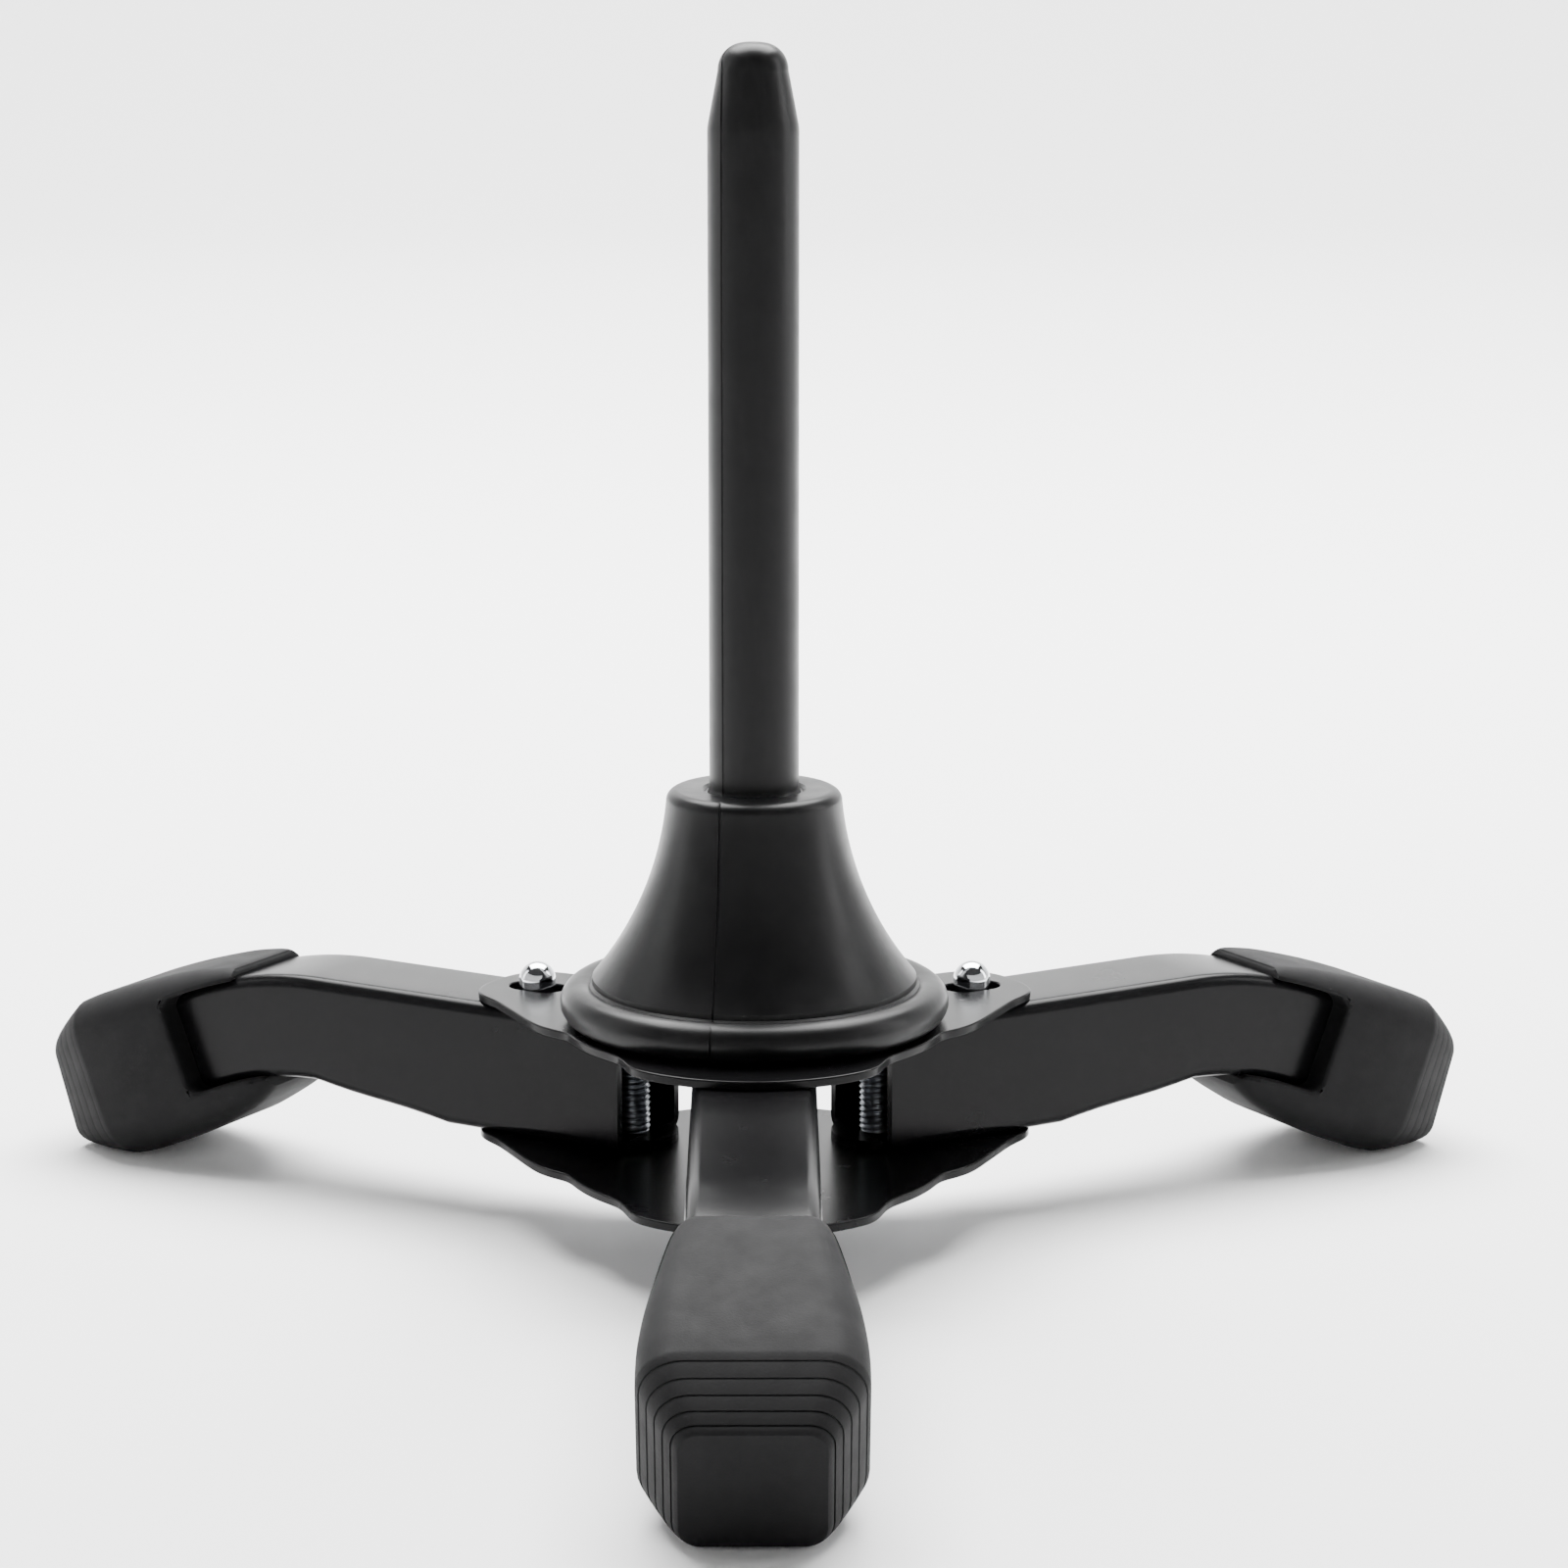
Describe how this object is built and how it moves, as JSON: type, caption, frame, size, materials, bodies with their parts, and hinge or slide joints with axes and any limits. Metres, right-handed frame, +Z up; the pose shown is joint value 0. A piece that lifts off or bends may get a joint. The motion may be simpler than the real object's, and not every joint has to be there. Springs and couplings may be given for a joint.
{
  "type": "instrument peg stand",
  "caption": "Folding floor stand: an upright tapered peg on a bell-shaped base over bent tube legs with rubber feet.",
  "frame": {"origin": "the floor point under the peg's axis", "axes": "+Z up along the peg, the fixed front leg along -Y, the side legs towards +X and -X and a little back"},
  "size_m": [0.2566, 0.2257, 0.2001],
  "materials": {
    "moulded_body": "satin moulded",
    "plates": "gloss black paint",
    "legs": "gloss black paint",
    "feet": "matt moulded",
    "buttons": "polished",
    "fasteners": "zinc plated",
    "springs": "spring strip",
    "insert": "turned"
  },
  "bodies": {
    "stand": {"peg_and_bell": "moulded_body", "peg_insert": "insert", "centre_bolt": "fasteners", "centre_washer": "fasteners", "centre_spacer": "fasteners", "top_plate": "plates", "bottom_plate": "plates", "front_leg": "legs", "front_foot": "feet", "left_pivot_bolt": "fasteners", "right_pivot_bolt": "fasteners", "left_pivot_washer": "fasteners", "right_pivot_washer": "fasteners", "left_pivot_nut": "fasteners", "right_pivot_nut": "fasteners", "front_leg_bolts": "fasteners", "front_leg_washers": "fasteners", "front_leg_nuts": "fasteners"},
    "left_leg": {"left_leg": "legs", "left_foot": "feet", "left_lock_spring": "springs"},
    "right_leg": {"right_leg": "legs", "right_foot": "feet", "right_lock_spring": "springs"},
    "left_button": {"left_lock_button": "buttons"},
    "right_button": {"right_lock_button": "buttons"}
  },
  "joints": [
    {"name": "left_fold", "type": "hinge", "parent": "stand", "child": "left_leg", "pos_m": [-0.02079, 0.012, 0.03952], "axis": [0, 0, 1], "range_deg": [0, 114], "deforming": ["left_lock_button"]},
    {"name": "right_fold", "type": "hinge", "parent": "stand", "child": "right_leg", "pos_m": [0.02079, 0.012, 0.03952], "axis": [0, 0, -1], "range_deg": [0, 114], "deforming": ["right_lock_button"]},
    {"name": "left_button_press", "type": "slide", "parent": "left_leg", "child": "left_button", "axis": [0, 0, -1], "range_m": [0, 0.0061], "stiffness_N_per_m": 600, "springref_m": -0.003, "deforming": ["left_lock_spring"]},
    {"name": "right_button_press", "type": "slide", "parent": "right_leg", "child": "right_button", "axis": [0, 0, -1], "range_m": [0, 0.0061], "stiffness_N_per_m": 600, "springref_m": -0.003, "deforming": ["right_lock_spring"]}
  ]
}
